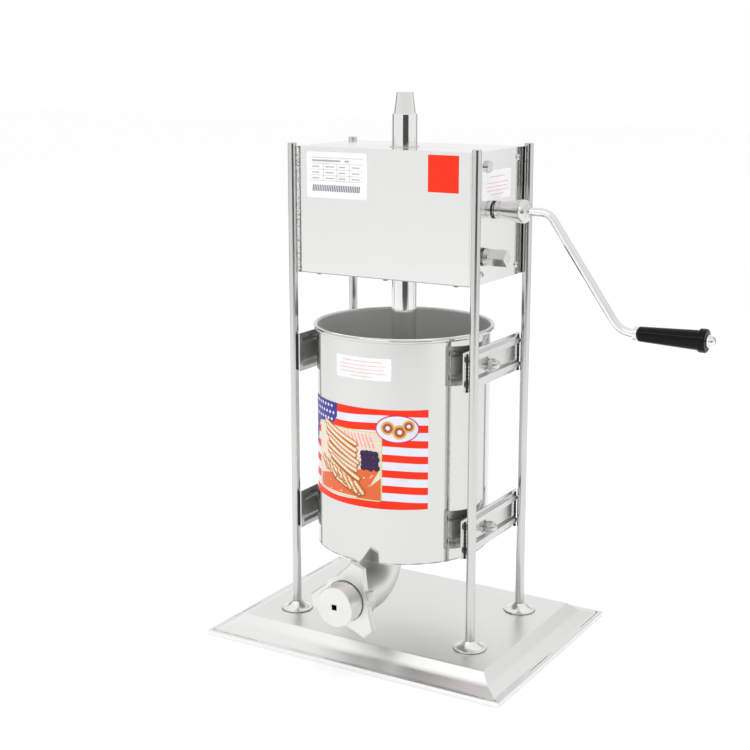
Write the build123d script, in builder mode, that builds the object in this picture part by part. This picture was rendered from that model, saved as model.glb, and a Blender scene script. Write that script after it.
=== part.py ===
from build123d import *

import os
from math import acos, ceil, cos, pi, radians, sin, sqrt, tan

os.makedirs("parts", exist_ok=True)

# Hand-cranked churro press. A rack rod pushes a plunger down a steel pot, and the dough
# leaves through an elbow and a nozzle that a wing nut holds at the front.
# Millimetres. X points to the crank side, -Y to the front, Z up.
# The origin is the middle of the base, on the table.

# Overall sizes
base_width = 410.0
base_depth = 315.0
overall_height = 680.0

# Base pan, pressed from sheet
base_sheet = 1.5
base_lip = 4.0
base_hem_width = 4.5
base_hem_edge = 1.0
base_hem_rise = 1.0
base_flange_width = 8.5
base_flange_rise = 0.8
base_apron_width = 13.5
base_apron_slope = radians(20)
base_cove_radius = 14.0
base_cove_steps = 4
base_bevel_slope = radians(45)
base_plateau = 22.0
base_edge_radius = 2.0
relief_hole_radius = 1.5
relief_hole_inset = 6.5

# Pot
pot_radius = 107.5
pot_sheet = 1.5
pot_floor_height = 125.0
pot_axis_y = -14.0
pot_bead_radius = 3.0
pot_side_gap = 6.0
mouth_gap = 60.0

# Posts
post_radius = 5.5
post_pitch_y = 140.0
post_standout = 4.0
post_chamfer = 0.8
post_stud_radius = 4.0
post_nut_height = 6.5
post_nut_flats = 13.0
post_stub_end = 1.0
washer_thickness = 1.6
washer_radius = 8.5
hole_clearance = 0.2
rosette_radius = 20.0
rosette_height = 10.0
rosette_brim = 2.2
rosette_brim_height = 2.0
rosette_sheet = 1.2
rosette_throat = 1.5
rosette_sag = -1.2

# Side rails, pressed from sheet with two ribs each
rail_height = 48.0
rail_depth = 6.0
rail_sheet = 1.5
rail_rib_height = 11.5
rail_rib_margin = 3.5
rail_rib_end_margin = 4.0
rail_rib_taper = 30.0
rail_upper_drop = 40.0
rail_lower_rise = 32.5

# Studs that carry the pot
stud_radius = 4.0
spacer_radius = 7.0
spring_washer_radius = 6.8
spring_washer_thickness = 2.0
dome_nut_flats = 13.0
dome_nut_hex = 6.5
dome_radius = 6.0

# Gear housing
gearbox_height = 154.0
gearbox_sheet = 2.0
cover_setback = 3.0
cover_return = 12.0
cover_side_return = 5.0
cover_bend_radius = 2.6
cover_return_gap = 0.5
tray_flange = 16.0
tray_end_gap = 6.0
screw_radius = 2.0
screw_head_radius = 4.0
screw_head_height = 2.4
screw_head_chamfer = 1.4
screw_length = 8.0
cover_screw_pitch = 95.0
cover_screw_inset = 6.0
side_screw_inset = 12.0
side_screw_rear_y = 50.0
side_screw_front_y = -44.0
plug_radius = 7.0
plug_stem_radius = 3.5
plug_head = 4.0
plug_round = 1.3
plug_y = -31.0
plug_drop = 18.0

# Plunger rod with rack teeth on its rear side
rod_radius = 15.5
rod_standout = 65.0
rod_cap_height = 25.0
rod_cap_top_radius = 10.2
rod_cap_bottom_radius = 13.3
rod_shoulder = 1.5
rod_stub_radius = 8.0
guide_wall = 2.5
guide_length = 16.0
guide_flange = 7.0
guide_flange_thickness = 3.0
guide_standout = 0.5

# Plunger
plunger_thickness = 18.0
plunger_clearance = 0.9
plunger_floor_gap = 1.0
plunger_edge = 2.5
plunger_web = 9.0
plunger_recess_radius = 80.0
seal_height = 6.0
seal_depth = 3.0
seal_gap = 0.3
plunger_nut_flats = 24.0
plunger_nut_height = 7.0
plunger_nut_gap = 1.0
plunger_stub_end = 1.0

# Gear teeth
module = 2.0
pressure_angle = radians(20)
addendum = 0.8 * module
dedendum = 1.05 * module
backlash = 0.25
flank_steps = 3
rack_line = 11.0
rack_pinion_teeth = 14
fast_pinion_teeth = 15
fast_wheel_teeth = 17
slow_pinion_teeth = 14
slow_wheel_teeth = 40
rack_pinion_width = 20.0
gear_width = 12.0
gear_gap = 6.0
gear_bush_gap = 1.0

# Shafts in the housing
main_shaft_rise = 58.5
main_shaft_radius = 8.0
main_bush_radius = 14.0
main_bush_length = 12.0
shaft_end_gap = 1.0
fast_direction = radians(126.4)
slow_direction = radians(209.5)
drive_shaft_radius = 9.0
drive_bush_radius = 12.5
drive_bush_length = 20.0
gear_seat_radius = 6.5
running_gap = 0.06
drive_collar = 6.0
drive_collar_radius = 10.7
drive_neck_radius = 9.4
drive_neck = 2.0
drive_square = 14.0
drive_square_length = 22.0
drive_square_chamfer = 1.0
ring_cord_radius = 1.1
ring_gap = 0.3
ring_facets = 8

# Crank
hub_gap = 0.5
hub_square_gap = 0.15
hub_small_radius = 9.8
hub_large_radius = 14.0
hub_cone = 25.5
hub_dome = 10.0
hub_bore_depth = 23.0
hub_mouth_gap = 0.5
arm_radius = 5.0
arm_start = 3.0
arm_first_run = 24.0
arm_drop = 130.0
arm_lean = 91.0
arm_first_bend = 18.0
arm_second_bend = 30.0
arm_last_run = 17.0
ferrule_radius = 8.2
ferrule_length = 5.0
ferrule_groove = 0.8
spindle_radius = 4.0
grip_length = 70.0
grip_small_radius = 8.6
grip_large_radius = 11.4
grip_flange_radius = 13.5
grip_flange = 9.0
grip_flange_round = 1.8
grip_mouth = 1.0
grip_end_gap = 0.4
grip_bore_gap = 0.08
grip_nut_radius = 7.6
grip_nut_rim = 3.0
grip_nut_dome_radius = 6.0
grip_nut_slot = 2.0
grip_nut_slot_depth = 4.0

# Outlet elbow and nozzle
outlet_offset = 54.0
outlet_height = 85.0
outlet_radius = 26.5
outlet_wall = 2.0
elbow_neck = 2.0
nozzle_reach = 178.0
nozzle_radius = 24.5
nozzle_wall = 3.5
nozzle_length = 24.5
nozzle_face = 3.0
nozzle_chamfer = 1.0
nozzle_flange = 4.0
nozzle_hole = 7.0
gasket_thickness = 1.5
collar_radius = 28.5
collar_length = 15.0
nut_web = 4.5
nut_depth = 17.0
nut_wing_thickness = 8.0
nut_skirt_radius = 31.5
nut_thread_gap = 0.3
nut_nozzle_gap = 1.2
nut_lobe_radius = 49.5
nut_lobe_half_angle = radians(10)
nut_waist_radius = 30.0
nut_first_lobe = radians(71)
nut_lobes = 3
nut_edge = 1.2
nut_lug_radius = 40.5
nut_lug_width = 10.0
nut_lug_angle = 19.0
nut_lug_setback = 2.0

# Places that follow from the sizes above
gearbox_top = overall_height - rod_standout
gearbox_bottom = gearbox_top - gearbox_height
rim_height = gearbox_bottom - mouth_gap
pot_bore = pot_radius - pot_sheet
pot_inner_floor = pot_floor_height + pot_sheet
post_x = pot_radius + pot_side_gap + rail_depth + post_radius
post_y = post_pitch_y / 2
post_top = gearbox_top + post_standout
post_places = {
    "front_left": (-post_x, -post_y),
    "front_right": (post_x, -post_y),
    "rear_left": (-post_x, post_y),
    "rear_right": (post_x, post_y),
}
sides = {"left": -1, "right": 1}
housing_x = post_x - post_radius
inner_x = housing_x - gearbox_sheet
housing_y = post_y - cover_setback
inner_y = housing_y - gearbox_sheet

# Planes across X and facing the front
def across(x, y=0.0, z=0.0):
    return Plane(origin=(x, y, z), x_dir=(0, 1, 0), z_dir=(1, 0, 0))


def facing_front(y, z):
    return Plane(origin=(0, y, z), x_dir=(1, 0, 0), z_dir=(0, -1, 0))


def save(piece, name):
    piece.part.label = name
    export_step(piece.part, f"parts/{name}.step")


# Base pan: lip, hem, flange, sloping apron, cove, bevel and flat top, hollow from below
apron_start = base_lip + base_flange_rise
apron_end = base_flange_width + base_apron_width
apron_top = apron_start + base_apron_width * tan(base_apron_slope)
pan_steps = [
    (0, 0),
    (0, base_lip),
    (base_hem_edge, base_lip + base_hem_rise),
    (base_hem_width - base_hem_edge, base_lip + base_hem_rise),
    (base_hem_width, base_lip),
    (base_flange_width, apron_start),
]
for step in range(base_cove_steps + 1):
    slope = base_apron_slope + (base_bevel_slope - base_apron_slope) * step / base_cove_steps
    inset = apron_end + base_cove_radius * (sin(slope) - sin(base_apron_slope))
    height = apron_top + base_cove_radius * (cos(base_apron_slope) - cos(slope))
    pan_steps.append((inset, height))
bevel_width = (base_plateau - height) / tan(base_bevel_slope)
pan_steps.append((inset + bevel_width, base_plateau))
with BuildPart() as base_pan:
    for sheet, mode in ((0, Mode.ADD), (base_sheet, Mode.SUBTRACT)):
        for low_step, high_step in zip(pan_steps, pan_steps[1:]):
            for inset, height in (low_step, high_step):
                with BuildSketch(Plane.XY.offset(height - sheet)):
                    Rectangle(base_width - 2 * (inset + sheet), base_depth - 2 * (inset + sheet))
            loft(ruled=True, mode=mode)
    fillet(base_pan.faces().sort_by(Axis.Z)[-1].edges(), base_edge_radius)
    with BuildSketch(Plane.XY):
        with GridLocations(base_width - 2 * relief_hole_inset, base_depth - 2 * relief_hole_inset, 2, 2):
            Circle(relief_hole_radius)
        with Locations(*post_places.values()):
            Circle(post_stud_radius + hole_clearance)
    extrude(amount=base_plateau, mode=Mode.SUBTRACT)
save(base_pan, "base_pan")

# Posts, each with a threaded stub through the pan
post_stub_bottom = base_plateau - base_sheet - washer_thickness - post_nut_height - post_stub_end
for place, (x, y) in post_places.items():
    with BuildPart() as post:
        with BuildSketch(Plane.XY.offset(base_plateau)):
            with Locations((x, y)):
                Circle(post_radius)
        extrude(amount=post_top - base_plateau)
        chamfer(post.faces().sort_by(Axis.Z)[-1].edges(), post_chamfer)
        with BuildSketch(Plane.XY.offset(post_stub_bottom)):
            with Locations((x, y)):
                Circle(post_stud_radius)
        extrude(amount=base_plateau - post_stub_bottom)
    save(post, f"post_{place}")

# Spun rosettes over the feet of the posts
for place, (x, y) in post_places.items():
    throat = post_radius + hole_clearance
    with BuildPart() as rosette:
        with BuildSketch(Plane(origin=(x, y, base_plateau), x_dir=(1, 0, 0), z_dir=(0, -1, 0))):
            with BuildLine():
                crown = (throat + rosette_throat, rosette_height)
                shoulder = (rosette_radius - rosette_brim, rosette_brim_height)
                inner_crown = (throat, rosette_height - rosette_sheet)
                inner_shoulder = (shoulder[0] - rosette_sheet, rosette_brim_height - rosette_sheet)
                Line((throat, rosette_height), crown)
                SagittaArc(crown, shoulder, rosette_sag)
                Polyline(
                    shoulder,
                    (rosette_radius, rosette_brim_height),
                    (rosette_radius, 0),
                    (inner_shoulder[0], 0),
                    inner_shoulder,
                    inner_crown,
                    (throat, rosette_height),
                )
            make_face()
        revolve(axis=Axis((x, y, 0), (0, 0, 1)))
    save(rosette, f"rosette_{place}")

# Washers and nuts under the pan
pan_underside = base_plateau - base_sheet
with BuildPart() as post_washers:
    with BuildSketch(Plane.XY.offset(pan_underside - washer_thickness)):
        with Locations(*post_places.values()):
            Circle(washer_radius)
            Circle(post_stud_radius, mode=Mode.SUBTRACT)
    extrude(amount=washer_thickness)
save(post_washers, "post_washers")

with BuildPart() as post_nuts:
    with BuildSketch(Plane.XY.offset(pan_underside - washer_thickness - post_nut_height)):
        with Locations(*post_places.values()):
            RegularPolygon(post_nut_flats / 2, 6, major_radius=False)
            Circle(post_stud_radius, mode=Mode.SUBTRACT)
    extrude(amount=post_nut_height)
save(post_nuts, "post_nuts")

# Pot: rolled wall with a bead at the rim, and a welded floor with the outlet
with BuildPart() as pot_wall:
    with BuildSketch(facing_front(pot_axis_y, 0)):
        with Locations((pot_radius - pot_sheet / 2, (pot_floor_height + rim_height - pot_bead_radius) / 2)):
            Rectangle(pot_sheet, rim_height - pot_bead_radius - pot_floor_height)
        with Locations((pot_bore + pot_bead_radius, rim_height - pot_bead_radius)):
            Circle(pot_bead_radius)
    revolve(axis=Axis((0, pot_axis_y, 0), (0, 0, 1)))
save(pot_wall, "pot_wall")

outlet_y = pot_axis_y - outlet_offset
outlet_bore = outlet_radius - outlet_wall
with BuildPart() as pot_floor:
    with BuildSketch(Plane.XY.offset(pot_floor_height)):
        with Locations((0, pot_axis_y)):
            Circle(pot_bore)
        with Locations((0, outlet_y)):
            Circle(outlet_bore, mode=Mode.SUBTRACT)
    extrude(amount=pot_sheet)
save(pot_floor, "pot_floor")

# Rails: sheet with two pressed ribs that stand out against the posts
rail_heights = {
    "upper": rim_height - rail_upper_drop,
    "lower": pot_floor_height + rail_lower_rise,
}
rail_length = post_pitch_y + 2 * post_radius
web_inner_x = housing_x - rail_depth
web_outer_x = web_inner_x + rail_sheet
rib_length = rail_length - 2 * rail_rib_end_margin
rib_pitch = rail_height - rail_rib_height - 2 * rail_rib_margin
for level, rail_z in rail_heights.items():
    for side_name, side in sides.items():
        with BuildPart() as rail:
            with BuildSketch(across(side * web_inner_x, 0, rail_z)):
                Rectangle(rail_length, rail_height)
            extrude(amount=side * rail_sheet)
            for skin, x, mode in (
                (0, web_outer_x, Mode.ADD),
                (rail_sheet, web_inner_x, Mode.SUBTRACT),
            ):
                with BuildSketch(across(side * x, 0, rail_z)):
                    with GridLocations(0, rib_pitch, 1, 2):
                        SlotOverall(rib_length - 2 * skin, rail_rib_height - 2 * skin)
                extrude(amount=side * (rail_depth - rail_sheet), taper=rail_rib_taper, mode=mode)
            with BuildSketch(across(0, pot_axis_y, rail_z)):
                Circle(stud_radius + hole_clearance)
            extrude(amount=side * housing_x, mode=Mode.SUBTRACT)
        save(rail, f"rail_{level}_{side_name}")

# Studs, spacers, washers and dome nuts, four of each
stack_start = web_outer_x + washer_thickness + spring_washer_thickness
stud_end = stack_start + dome_nut_hex
stud_places = [(side, rail_z) for side in sides.values() for rail_z in rail_heights.values()]


def stud_sleeves(start, end, outer, inner):
    with BuildPart() as sleeves:
        for side, rail_z in stud_places:
            with BuildSketch(across(side * start, pot_axis_y, rail_z)):
                Circle(outer)
                if inner:
                    Circle(inner, mode=Mode.SUBTRACT)
            extrude(amount=side * (end - start))
        with BuildSketch(Plane.XY.offset(pot_floor_height)):
            with Locations((0, pot_axis_y)):
                Circle(pot_radius)
        extrude(amount=rim_height - pot_floor_height, mode=Mode.SUBTRACT)
    return sleeves


washer_end = web_outer_x + washer_thickness
save(stud_sleeves(pot_bore, stud_end, stud_radius, 0), "pot_studs")
save(stud_sleeves(pot_bore, web_inner_x, spacer_radius, stud_radius), "stud_spacers")
save(stud_sleeves(web_outer_x, washer_end, washer_radius, stud_radius), "stud_washers")
save(stud_sleeves(washer_end, stack_start, spring_washer_radius, stud_radius), "spring_washers")

with BuildPart() as dome_nuts:
    for side, rail_z in stud_places:
        with BuildSketch(across(side * stack_start, pot_axis_y, rail_z)):
            RegularPolygon(dome_nut_flats / 2, 6, major_radius=False)
        extrude(amount=side * dome_nut_hex)
        with BuildSketch(facing_front(pot_axis_y, rail_z)):
            with BuildLine():
                foot = (side * stud_end, 0)
                tip = (side * (stud_end + dome_radius), 0)
                brow = (side * stud_end, dome_radius)
                Polyline(tip, foot, brow)
                TangentArc(brow, tip, tangent=(side, 0))
            make_face()
        revolve(axis=Axis((0, pot_axis_y, rail_z), (1, 0, 0)))
        stud_hole = across(side * stack_start, pot_axis_y, rail_z)
        with BuildSketch(stud_hole):
            Circle(stud_radius)
        extrude(amount=side * dome_nut_hex, mode=Mode.SUBTRACT)
save(dome_nuts, "dome_nuts")

# Shaft places. The main shaft stands behind the rod by the rack line and the pinion's radius
rack_pinion_radius = module * rack_pinion_teeth / 2
main_y = pot_axis_y + rack_line + rack_pinion_radius
main_z = gearbox_bottom + main_shaft_rise
fast_centres = module * (fast_pinion_teeth + fast_wheel_teeth) / 2
slow_centres = module * (slow_pinion_teeth + slow_wheel_teeth) / 2
fast_y = main_y + fast_centres * cos(fast_direction)
fast_z = main_z + fast_centres * sin(fast_direction)
slow_y = main_y + slow_centres * cos(slow_direction)
slow_z = main_z + slow_centres * sin(slow_direction)
drive_places = {"fast": (fast_y, fast_z), "slow": (slow_y, slow_z)}

# Side plates of the housing, screwed to the trays and welded to the posts
top_screw_z = gearbox_top - side_screw_inset
bottom_screw_z = gearbox_bottom + side_screw_inset
plug_z = gearbox_top - plug_drop
top_screw_front_y = -inner_y + tray_end_gap + screw_head_radius
side_screw_places = (
    (side_screw_rear_y, top_screw_z),
    (side_screw_rear_y, bottom_screw_z),
    (top_screw_front_y, top_screw_z),
    (side_screw_front_y, bottom_screw_z),
)
for side_name, side in sides.items():
    with BuildPart() as side_plate:
        with BuildSketch(across(side * inner_x, 0, gearbox_bottom + gearbox_height / 2)):
            Rectangle(post_pitch_y, gearbox_height)
        extrude(amount=side * gearbox_sheet)
        with BuildSketch(across(side * inner_x)):
            with Locations(*side_screw_places):
                Circle(screw_radius)
            if side > 0:
                with Locations(*drive_places.values()):
                    Circle(drive_shaft_radius + ring_gap)
                with Locations((plug_y, plug_z)):
                    Circle(plug_stem_radius)
        extrude(amount=side * gearbox_sheet, mode=Mode.SUBTRACT)
    save(side_plate, f"side_plate_{side_name}")

# Front and rear covers: one sheet each, folded in at the top and bottom
return_x = inner_x - gearbox_sheet - cover_return_gap
cover_screw_y = inner_y - cover_screw_inset
for cover_name, way in (("front", -1), ("rear", 1)):
    with BuildPart() as cover:
        with BuildSketch(Plane.XY.offset(gearbox_bottom)):
            with Locations((0, way * (housing_y - cover_side_return / 2))):
                Rectangle(2 * inner_x, cover_side_return)
            with Locations((0, way * (inner_y - cover_side_return / 2))):
                Rectangle(2 * (inner_x - gearbox_sheet), cover_side_return, mode=Mode.SUBTRACT)
        extrude(amount=gearbox_height)
        folds = cover.edges().filter_by(Axis.Z).group_by(Axis.Y)[-1 if way > 0 else 0]
        fillet(folds, cover_bend_radius)
        for tray_z in (gearbox_bottom, gearbox_top - gearbox_sheet):
            with BuildSketch(Plane.XY.offset(tray_z)):
                with Locations((0, way * (inner_y - cover_side_return / 2))):
                    Rectangle(2 * inner_x, cover_side_return)
            extrude(amount=gearbox_sheet, mode=Mode.SUBTRACT)
        for return_z in (gearbox_bottom + gearbox_sheet, gearbox_top - 2 * gearbox_sheet):
            with BuildSketch(Plane.XY.offset(return_z)):
                with Locations((0, way * (inner_y - cover_return / 2))):
                    Rectangle(2 * return_x, cover_return)
            extrude(amount=gearbox_sheet)
        with BuildSketch(Plane.XY.offset(gearbox_bottom)):
            with Locations((0, way * cover_screw_y)):
                with GridLocations(cover_screw_pitch, 0, 3, 1):
                    Circle(screw_radius)
        extrude(amount=2 * gearbox_sheet, mode=Mode.SUBTRACT)
    save(cover, f"cover_{cover_name}")

# Top and bottom trays, flanged towards the side plates and bored for the rod guides
guide_radius = rod_radius + running_gap + guide_wall
for tray_name, sheet_z, flange_z, inward in (
    ("top", gearbox_top - gearbox_sheet, gearbox_top - gearbox_sheet, -1),
    ("bottom", gearbox_bottom, gearbox_bottom + gearbox_sheet, 1),
):
    with BuildPart() as tray:
        with BuildSketch(Plane.XY.offset(sheet_z)):
            Rectangle(2 * inner_x, 2 * inner_y)
            with Locations((0, pot_axis_y)):
                Circle(guide_radius, mode=Mode.SUBTRACT)
            if inward > 0:
                with GridLocations(cover_screw_pitch, 2 * cover_screw_y, 3, 2):
                    Circle(screw_radius, mode=Mode.SUBTRACT)
        extrude(amount=gearbox_sheet)
        with BuildSketch(Plane.XY.offset(flange_z)):
            with GridLocations(2 * inner_x - gearbox_sheet, 0, 2, 1):
                Rectangle(gearbox_sheet, 2 * (inner_y - tray_end_gap))
        extrude(amount=inward * tray_flange)
        with BuildSketch(across(-inner_x)):
            with Locations(*side_screw_places):
                Circle(screw_radius)
        extrude(amount=2 * inner_x, mode=Mode.SUBTRACT)
    save(tray, f"tray_{tray_name}")


# Pan-head screws of the housing
def screws(seats):
    with BuildPart() as screw_set:
        for seat in seats:
            with BuildSketch(seat):
                Circle(screw_head_radius)
            extrude(amount=screw_head_height)
            crown = screw_set.faces(Select.LAST).sort_by_distance(seat.offset(screw_head_height).origin)[0]
            chamfer(crown.edges(), screw_head_chamfer)
            with BuildSketch(seat):
                Circle(screw_radius)
            extrude(amount=-screw_length)
    return screw_set


side_seats = [
    Plane(origin=(side * housing_x, y, z), z_dir=(side, 0, 0))
    for side in sides.values()
    for y, z in side_screw_places
]
cover_seats = [
    Plane(origin=(column * cover_screw_pitch, way * cover_screw_y, gearbox_bottom), z_dir=(0, 0, -1))
    for way in (-1, 1)
    for column in (-1, 0, 1)
]
save(screws(side_seats), "side_screws")
save(screws(cover_seats), "cover_screws")

# Oil plug in the right side plate
with BuildPart() as oil_plug:
    with BuildSketch(across(housing_x, plug_y, plug_z)):
        Circle(plug_radius)
    extrude(amount=plug_head)
    fillet(oil_plug.faces().sort_by(Axis.X)[-1].edges(), plug_round)
    with BuildSketch(across(inner_x, plug_y, plug_z)):
        Circle(plug_stem_radius)
    extrude(amount=gearbox_sheet)
save(oil_plug, "oil_plug")

# Flanged guides for the rod in both trays
for guide_name, sheet_face, inward in (("top", gearbox_top, -1), ("bottom", gearbox_bottom, 1)):
    with BuildPart() as guide:
        with BuildSketch(Plane.XY.offset(sheet_face - inward * guide_standout)):
            with Locations((0, pot_axis_y)):
                Circle(guide_radius)
        extrude(amount=inward * (guide_standout + guide_length))
        with BuildSketch(Plane.XY.offset(sheet_face + inward * gearbox_sheet)):
            with Locations((0, pot_axis_y)):
                Circle(guide_radius + guide_flange)
        extrude(amount=inward * guide_flange_thickness)
        with BuildSketch(Plane.XY.offset(sheet_face - inward * guide_standout)):
            with Locations((0, pot_axis_y)):
                Circle(rod_radius + running_gap)
        extrude(amount=inward * (guide_standout + guide_length), mode=Mode.SUBTRACT)
    save(guide, f"rod_guide_{guide_name}")

# Bushes for the shafts, welded inside the side plates
for side_name, side in sides.items():
    with BuildPart() as main_bush:
        with BuildSketch(across(side * inner_x, main_y, main_z)):
            Circle(main_bush_radius)
            Circle(main_shaft_radius + running_gap, mode=Mode.SUBTRACT)
        extrude(amount=-side * main_bush_length)
    save(main_bush, f"main_bush_{side_name}")

for drive_name, (y, z) in drive_places.items():
    with BuildPart() as drive_bush:
        with BuildSketch(across(inner_x, y, z)):
            Circle(drive_bush_radius)
            Circle(drive_shaft_radius + running_gap, mode=Mode.SUBTRACT)
        extrude(amount=-drive_bush_length)
    save(drive_bush, f"{drive_name}_bush")


# Spur gears with involute flanks
def involute(radius, base_radius):
    return sqrt((radius / base_radius) ** 2 - 1) - acos(base_radius / radius)


def gear_points(teeth, tooth_direction):
    pitch_radius = module * teeth / 2
    base_radius = pitch_radius * cos(pressure_angle)
    root_radius = pitch_radius - dedendum
    tip_radius = pitch_radius + addendum
    flank_start = max(base_radius, root_radius)
    half_tooth = (pi * module / 2 - backlash) / (2 * pitch_radius) + involute(pitch_radius, base_radius)
    flank = []
    if root_radius < base_radius:
        flank.append((root_radius, half_tooth))
    for step in range(flank_steps + 1):
        radius = flank_start + (tip_radius - flank_start) * step / flank_steps
        flank.append((radius, half_tooth - involute(radius, base_radius)))
    points = []
    for tooth in range(teeth):
        middle = tooth_direction + 2 * pi * tooth / teeth
        points += [(r * cos(middle - a), r * sin(middle - a)) for r, a in flank]
        points += [(r * cos(middle + a), r * sin(middle + a)) for r, a in reversed(flank)]
    return points


def gear(start, width, place, teeth, tooth_direction, bore):
    with BuildPart() as wheel:
        with BuildSketch(across(start, *place)):
            with BuildLine():
                Polyline(*gear_points(teeth, tooth_direction), close=True)
            make_face()
            Circle(bore, mode=Mode.SUBTRACT)
        extrude(amount=width)
    return wheel


# Gear train. A driven gear turns a gap towards its partner, half a tooth from its own tooth
def gap_towards(direction, teeth):
    return direction + pi / teeth


fast_gear_x = inner_x - drive_bush_length - gear_bush_gap - gear_width
slow_gear_x = fast_gear_x - gear_gap - gear_width
main_place = (main_y, main_z)
rack_pinion = gear(
    -rack_pinion_width / 2,
    rack_pinion_width,
    main_place,
    rack_pinion_teeth,
    gap_towards(pi, rack_pinion_teeth),
    main_shaft_radius,
)
save(rack_pinion, "rack_pinion")
fast_wheel = gear(fast_gear_x, gear_width, main_place, fast_wheel_teeth, fast_direction, main_shaft_radius)
save(fast_wheel, "fast_wheel")
slow_wheel = gear(slow_gear_x, gear_width, main_place, slow_wheel_teeth, slow_direction, main_shaft_radius)
save(slow_wheel, "slow_wheel")
fast_pinion = gear(
    fast_gear_x,
    gear_width,
    drive_places["fast"],
    fast_pinion_teeth,
    gap_towards(fast_direction + pi, fast_pinion_teeth),
    gear_seat_radius,
)
save(fast_pinion, "fast_pinion")
slow_pinion = gear(
    slow_gear_x,
    gear_width,
    drive_places["slow"],
    slow_pinion_teeth,
    gap_towards(slow_direction + pi, slow_pinion_teeth),
    gear_seat_radius,
)
save(slow_pinion, "slow_pinion")

# Main shaft between its two blind bushes
main_shaft_half = inner_x - shaft_end_gap
with BuildPart() as main_shaft:
    with BuildSketch(across(-main_shaft_half, *main_place)):
        Circle(main_shaft_radius)
    extrude(amount=2 * main_shaft_half)
    chamfer(main_shaft.edges().filter_by(GeomType.CIRCLE), post_chamfer)
save(main_shaft, "main_shaft")

# Drive shafts: gear seat, journal, neck and square end for the crank
collar_start = housing_x + 2 * ring_cord_radius + ring_gap
drive_collar_x = housing_x + drive_collar
square_start = drive_collar_x + drive_neck
square_end = square_start + drive_square_length
for drive_name, gear_x in (("fast", fast_gear_x), ("slow", slow_gear_x)):
    place = drive_places[drive_name]
    with BuildPart() as drive_shaft:
        journal_start = fast_gear_x + gear_width
        for start, end, radius in (
            (gear_x, journal_start, gear_seat_radius),
            (journal_start, collar_start, drive_shaft_radius),
            (collar_start, drive_collar_x, drive_collar_radius),
            (drive_collar_x, square_start, drive_neck_radius),
        ):
            with BuildSketch(across(start, *place)):
                Circle(radius)
            extrude(amount=end - start)
        with BuildSketch(across(square_start, *place)):
            Rectangle(drive_square, drive_square, rotation=45)
        extrude(amount=drive_square_length)
        chamfer(drive_shaft.faces().sort_by(Axis.X)[-1].edges(), drive_square_chamfer)
    save(drive_shaft, f"{drive_name}_shaft")

with BuildPart() as seal_rings:
    for place in drive_places.values():
        with BuildSketch(facing_front(*place)):
            with Locations((housing_x + ring_cord_radius, drive_shaft_radius + ring_gap + ring_cord_radius)):
                RegularPolygon(ring_cord_radius, ring_facets, rotation=180 / ring_facets, major_radius=False)
        revolve(axis=Axis((0, *place), (1, 0, 0)))
save(seal_rings, "seal_rings")

# Plunger rod: a round bar, flat and toothed at the back
plunger_bottom = pot_inner_floor + plunger_floor_gap
plunger_top = plunger_bottom + plunger_thickness
rod_top = overall_height - rod_cap_height
travel = gearbox_bottom - guide_standout - plunger_edge - plunger_top
tooth_pitch = pi * module
reach = rack_pinion_radius + addendum
teeth_up = ceil(reach / tooth_pitch)
teeth_down = ceil((travel + reach) / tooth_pitch)
gap_width = tooth_pitch / 2 + backlash
gap_tip = gap_width / 2 + addendum * tan(pressure_angle)
gap_root = gap_width / 2 - dedendum * tan(pressure_angle)
with BuildPart() as rack_rod:
    with BuildSketch(Plane.XY.offset(plunger_top)):
        with Locations((0, pot_axis_y)):
            Circle(rod_radius)
    extrude(amount=rod_top - plunger_top)
    chamfer(rack_rod.faces().sort_by(Axis.Z)[-1].edges(), rod_shoulder)
    with BuildSketch(Plane.XY.offset(plunger_top)):
        with Locations((0, pot_axis_y)):
            Circle(rod_stub_radius)
    extrude(amount=-(plunger_thickness - plunger_stub_end))
    flat_low = main_z - (teeth_down + 0.5) * tooth_pitch
    flat_high = main_z + (teeth_up + 0.5) * tooth_pitch
    with BuildSketch(across(-rod_radius, pot_axis_y, 0)):
        with Locations((rack_line + addendum + rod_radius / 2, (flat_low + flat_high) / 2)):
            Rectangle(rod_radius, flat_high - flat_low)
        for step in range(-teeth_down, teeth_up):
            middle = main_z + (step + 0.5) * tooth_pitch
            with BuildLine():
                Polyline(
                    (rack_line + addendum, middle - gap_tip),
                    (rack_line - dedendum, middle - gap_root),
                    (rack_line - dedendum, middle + gap_root),
                    (rack_line + addendum, middle + gap_tip),
                    close=True,
                )
            make_face()
    extrude(amount=2 * rod_radius, mode=Mode.SUBTRACT)
save(rack_rod, "rack_rod")

with BuildPart() as rod_cap:
    with BuildSketch(facing_front(pot_axis_y, rod_top)):
        Polygon(
            (0, 0),
            (rod_cap_bottom_radius, 0),
            (rod_cap_top_radius, rod_cap_height),
            (0, rod_cap_height),
            align=None,
        )
    revolve(axis=Axis((0, pot_axis_y, 0), (0, 0, 1)))
    chamfer(rod_cap.faces().sort_by(Axis.Z)[-1].edges(), post_chamfer)
save(rod_cap, "rod_cap")

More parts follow.
